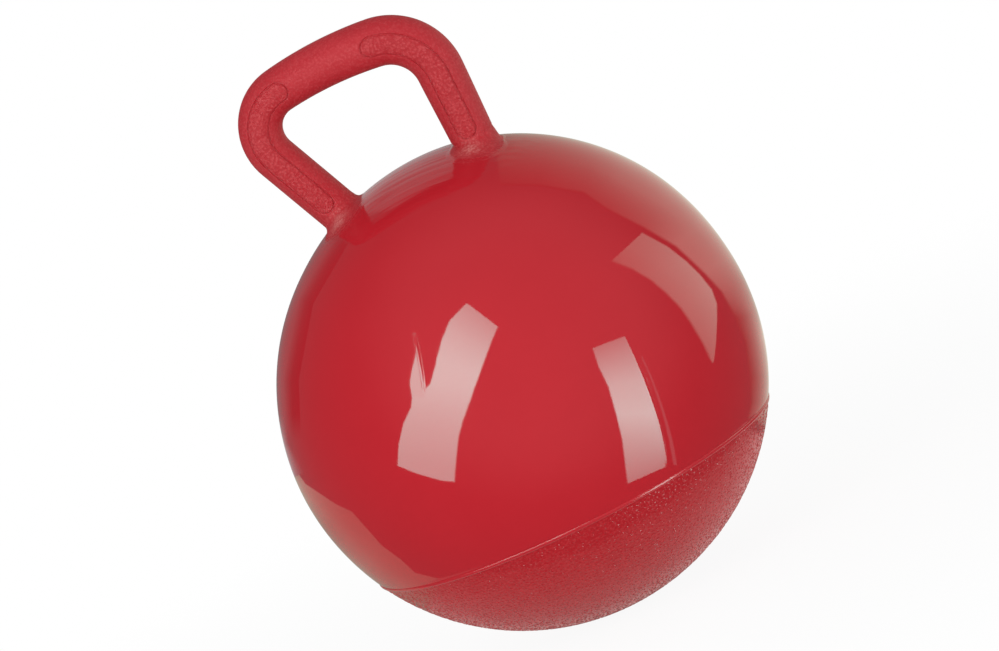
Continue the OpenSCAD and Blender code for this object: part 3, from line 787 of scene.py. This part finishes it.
# Each card lies between two lines of the picture, in pixels, or between one line and the outline of the ball.
# Its glow runs along them; where it has several values in a row, these go from the first line to the other one.
# Soft is how far its two sides run out beyond the lines, in pixels, and dim is the glow at which they end.
cards = {
    "leftWindow": {
        "edge": [(467, 303), (450, 321), (442, 341), (436, 366), (431, 384), (427, 388), (413, 396), (412, 407),
            (404, 423), (399, 444), (397.5, 466), (415, 473.3)],
        "other": [(497, 326), (489, 345), (483, 361), (476, 380), (473, 388), (470, 397), (466, 408), (462, 420),
            (458, 435), (456, 458), (454.5, 482), (441, 480.6)],
        "glow": [5.8, 8.7, 10.8, 10.6, 9.7, 8.6, 7.4, 6.0, 5.7], "soft": (0.8, 1.6), "tint": "#B0FFF8"},
    "leftSpike": {
        "edge": [(414.1, 334), (416.6, 352), (412.5, 370), (410, 384), (412, 397)],
        "other": [(414.6, 334), (417.8, 352), (420.6, 370), (423.3, 386), (426, 397)],
        "glow": [9.4, 8.6], "tint": "#B6FFF8"},
    "rightWindow": {
        "edge": [(594, 348), (600, 367), (609, 386.5), (616.5, 414), (623, 440), (629, 483)],
        "other": [(625, 336), (635, 356), (646, 379), (656.5, 414), (662.5, 440), (665.5, 467)],
        "glow": [3.4, 5.9, 8.8, 10.3, 7.2, 3.6], "soft": (1.6, 0.8), "tint": "#B6FFF8"},
    "mouldGleam": {
        "edge": [(641, 356), (650.5, 379), (661.5, 412), (669, 440), (674, 465)],
        "other": [(642.5, 356), (652.5, 379), (664, 412), (672.5, 440), (677.5, 465)],
        "glow": [1.2, 1.1, 1.0, 0.9], "tint": "#C8FFFF"},
    "sideWindow": {
        "edge": [(612.5, 260), (634, 269), (651.5, 279.5), (667.5, 292.5), (682.5, 307.5), (692.5, 322), (703, 339.5),
            (709, 351.5), (712.5, 362)],
        "other": [(641.5, 233), (667, 247), (686, 262), (700, 276), (711, 290), (716, 304), (716.5, 320),
            (715.5, 342), (713.5, 362)],
        "glow": [(1.5, 1.9, 1.9), (2.1, 2.45, 2.5), (2.25, 2.45, 2.5), (1.9, 2.1, 2.2), (1.6, 1.7, 1.7)],
        "soft": (3, 1.5), "tint": "#D8FFEE"},
    "paperWall": {
        "edge": [(500, 182), (540, 183), (584, 190), (607, 206), (645, 225.5), (677.5, 245), (705.5, 271.5),
            (723.5, 291), (738, 318), (748, 341), (753, 378), (754, 402), (750, 421)],
        "glow": [(0.24, 0.34, 0.34), (0.3, 0.5, 0.52), (0.47, 0.73, 0.72), (0.52, 0.96, 0.76), (0.82, 1.06, 0.74),
            (1.5, 1.03, 0.72), (1.35, 0.9, 0.66), (0.8, 0.68, 0.6), (0.22, 0.66, 0.74), (0.32, 0.84, 1.0),
            (0.26, 0.7, 0.86), (0.34, 0.7, 0.9), (0.4, 0.7, 0.9)], "soft": (3, 0), "dim": 0.16, "tint": "#FFFFED"},
    "paperLeft": {
        "edge": [(348, 244), (313, 304), (298.5, 380), (300, 413), (301, 440), (322, 465.5)],
        "glow": [(0.06, 0.1, 0.21, 0.2, 0.2), (0.05, 0.1, 0.21, 0.21, 0.21), (0.05, 0.08, 0.22, 0.22, 0.22),
            (0.05, 0.06, 0.21, 0.24, 0.3), (0.17, 0.17, 0.18, 0.58, 1.0), (0.16, 0.16, 0.17, 0.38, 0.6)]},
    "paperFloor": {
        "edge": [(299, 475), (305, 484), (320, 494), (336, 504), (352, 511), (368, 529), (382, 545), (401, 559),
            (416, 573), (440, 579)],
        "glow": [(0.5, 0.5, 0.4), (0.64, 0.48, 0.28), (0.66, 0.55, 0.22), (0.66, 0.57, 0.18), (0.66, 0.57, 0.2),
            (0.68, 0.58, 0.25), (0.71, 0.58, 0.3), (0.64, 0.53, 0.27), (0.6, 0.5, 0.24), (0.58, 0.48, 0.26)],
        "tint": "#F4FFEA"},
    "paperBase": {
        "edge": [(440, 579), (485, 574), (540, 566), (600, 545), (660, 510), (710, 470), (745, 430)],
        "glow": [(0.5, 0.7, 0.56), (0.62, 0.84, 0.66), (0.72, 0.98, 0.8), (0.74, 1.02, 0.86), (0.7, 1.0, 0.86)],
        "tint": "#FFCCC8"},
    "paperTop": {
        "edge": [(352, 222), (376, 213), (415, 202.5), (459, 187), (472, 182)],
        "glow": [(0.3, 0.4, 0.5), (0.32, 0.45, 0.6), (0.33, 0.42, 0.55), (0.36, 0.4, 0.45), (0.36, 0.36, 0.36)]},
}


# Makes a material glow by itself
def addGlow(add, strength, tint="#FFFFFF"):
    light = add("ShaderNodeEmission", {"Color": linearColour(tint), "Strength": strength})
    add("ShaderNodeOutputMaterial", {"Surface": light})


def glossOnly(card):
    card.visible_camera = card.visible_diffuse = card.visible_shadow = card.visible_transmission = False


# Where rays through pixels of the picture meet the dome, and the ways in which it mirrors them
def mirrorPixels(pixels):
    flat = (pixels - np.array(view["size"]) / 2) / view["focal"] * [1, -1]
    rays = unit(np.concatenate([flat, -np.ones((len(flat), 1))], 1) @ viewAxes)
    eye = np.array(view["place"]) * 1000 - [0, 0, ball["middleZ"]]
    along = rays @ eye
    radius = np.full(len(rays), ball["radius"])
    for _ in range(studio["mirrorRounds"]):
        within = np.sqrt(np.maximum(along ** 2 - eye @ eye + radius ** 2, 0))
        hit = eye + (-along - within)[:, None] * rays
        radius = ball["radius"] + domePull(unit(hit))
    normal = domeNormal(unit(hit))
    return hit, rays - 2 * np.minimum((rays * normal).sum(1), 0)[:, None] * normal


# Evenly spaced rows of values, read at shares between the first row and the last one
def readRows(rows, shares):
    return np.stack([np.interp(shares, np.linspace(0, 1, len(rows)), column) for column in rows.T], -1)


# A card where the dome mirrors it into its place in the picture
def makeCard(name, card):
    middle, edge = np.array(view["ballMiddle"]), np.array(card["edge"], float)
    beyond = middle + view["beyondBall"] * unit(edge - middle)
    runs = np.linspace(0, 1, studio["cardSteps"] * (len(edge) - 1) + 1)
    first, other = (readRows(line, runs) for line in (edge, np.array(card.get("other", beyond), float)))
    shares, distance = np.linspace(0, 1, studio["cardRows"]), studio["cardDistance"] * 1000
    fades, pixels = np.ones(len(shares)), [first + (other - first) * t for t in shares]
    if "soft" in card:  # two lines more, outside the others; it stands a little behind the sharp cards
        wide = np.linalg.norm(other - first, axis=1)[:, None]
        out = [(other - first) / wide * np.minimum(soft, wide / studio["softPart"]) for soft in card["soft"]]
        pixels = [first - out[0], *pixels, other + out[1]]
        shares, fades = np.pad(shares, 1, mode="edge"), np.pad(fades, 1)
        distance *= studio["softBehind"]
    hit, mirrored = mirrorPixels(np.concatenate(pixels))
    material, add = newMaterial(name + "Glow")
    glow = add("ShaderNodeAttribute", attribute_name="glow").outputs["Fac"]
    addGlow(add, glow, card.get("tint", "#FFFFFF"))
    piece = makePiece(name, hit + distance * mirrored, gridFaces(len(shares), len(runs)), material, outward=False)
    given = np.array(card["glow"], float).reshape(len(card["glow"]), -1)
    dim = card.get("dim", studio["roomFront"])
    values = dim + (readRows(readRows(given, runs).T, shares) - dim) * fades[:, None]
    piece.data.attributes.new("glow", "FLOAT", "POINT").data.foreach_set("value", values.ravel())
    glossOnly(piece)


for name, card in cards.items():
    makeCard(name, card)


# A dim room round the ball, a little brighter towards the camera and the ceiling
def makeRoom():
    turns, rows, pole = studio["roomTurns"], studio["roomRows"], math.pi / 2 - studio["roomPole"]
    sphere = toSphere(*np.meshgrid(fullTurn(turns), np.linspace(-pole, pole, rows))).reshape(-1, 3)
    front = viewAxes[2] + studio["roomUp"] * viewAxes[1]
    material, add = newMaterial("dimRoom")
    place = add("ShaderNodeNewGeometry").outputs["Position"]
    way = add("ShaderNodeVectorMath", {0: place}, operation="NORMALIZE")
    share = add("ShaderNodeVectorMath", {0: way, 1: front.tolist()}, operation="DOT_PRODUCT").outputs["Value"]
    glow = add("ShaderNodeMapRange", {
        "Value": share, **studio["roomEdge"], "To Min": studio["roomDim"],
        "To Max": studio["roomFront"]}, interpolation_type="SMOOTHSTEP")
    addGlow(add, glow)
    faces = gridFaces(rows, turns, closed=True)
    glossOnly(makePiece("dimRoom", sphere * studio["roomRadius"], faces, material, outward=False))


# Paper behind the ball, which only other viewpoints see mirrored
def makeBackPaper():
    turns = fullTurn(studio["backTurns"])[:, None]
    right, up, back = viewAxes
    disc = studio["backRadius"] * (np.cos(turns) * right + np.sin(turns) * up) - back * studio["cardDistance"] * 1000
    material, add = newMaterial("paperBackGlow")
    addGlow(add, studio["backGlow"])
    glossOnly(makePiece("paperBack", disc, [range(len(disc))], material, outward=False))


# 1 for the eye, gloss and glass, 0 for soft light
def seenClearly(add):
    seen = add("ShaderNodeLightPath").outputs
    clear = seen["Is Camera Ray"]
    for kind in ("Is Glossy Ray", "Is Transmission Ray"):
        clear = add("ShaderNodeMath", {0: clear, 1: seen[kind]}, operation="MAXIMUM")
    return clear


def makeFloor():
    turns = fullTurn(studio["floorTurns"])
    rim = np.stack([np.cos(turns), np.sin(turns), 0 * turns], -1) * studio["floorRadius"] * 1000
    material, add = newMaterial("whitePaper")
    share = add("ShaderNodeMath", {0: seenClearly(add), 1: studio["floorWhite"]}, operation="MULTIPLY")
    paper = add("ShaderNodeBsdfDiffuse", {"Color": linearColour(studio["floorColour"])})
    white = add("ShaderNodeEmission", {"Strength": 1.0})
    sheet = add("ShaderNodeMixShader", {0: share, 1: paper, 2: white})
    # The sheet fades into the white behind it
    place = add("ShaderNodeTexCoord").outputs["Object"]
    away = add("ShaderNodeVectorMath", {0: place}, operation="LENGTH").outputs["Value"]
    fade = add("ShaderNodeMapRange", {"Value": away, **studio["floorFade"]}, interpolation_type="SMOOTHSTEP")
    air = add("ShaderNodeBsdfTransparent")
    faded = add("ShaderNodeMixShader", {0: fade, 1: sheet, 2: air})
    add("ShaderNodeOutputMaterial", {"Surface": faded})
    low = [0, 0, ball["middleZ"] + studio["floorDrop"]]
    floor = makePiece("floor", rim - low, [range(len(rim))], material, outward=False)
    floor.visible_glossy = False  # the dome mirrors the paper cards and the room instead


makeRoom()
makeBackPaper()
makeFloor()

# White to the eye and to gloss and glass, a plain grey level for everything else
world = bpy.data.worlds.new("whiteStudio")
world.use_nodes = True
world.node_tree.nodes.clear()
add = functools.partial(addNode, world.node_tree)
soft, white = (add("ShaderNodeBackground", {"Color": (1, 1, 1, 1), "Strength": s}) for s in (studio["ambient"], 1.0))
mixed = add("ShaderNodeMixShader", {0: seenClearly(add), 1: soft, 2: white})
add("ShaderNodeOutputWorld", {"Surface": mixed})
bpy.context.scene.world = world

# Two soft boxes, one on each side of the camera
for name, (spot, power) in studio["keys"].items():
    lamp = bpy.data.lights.new(name, "AREA")
    lamp.size = studio["keySize"]
    lamp.energy = power
    box = bpy.data.objects.new(name, lamp)
    box.location = spot
    box.rotation_euler = (Vector(studio["keyAim"]) - Vector(spot)).to_track_quat("-Z", "Y").to_euler()
    box.visible_glossy = False
    bpy.context.collection.objects.link(box)
bpy.context.scene.view_settings.view_transform = "Standard"
print("studio set")

bpy.data.objects.remove(ridgeShape)
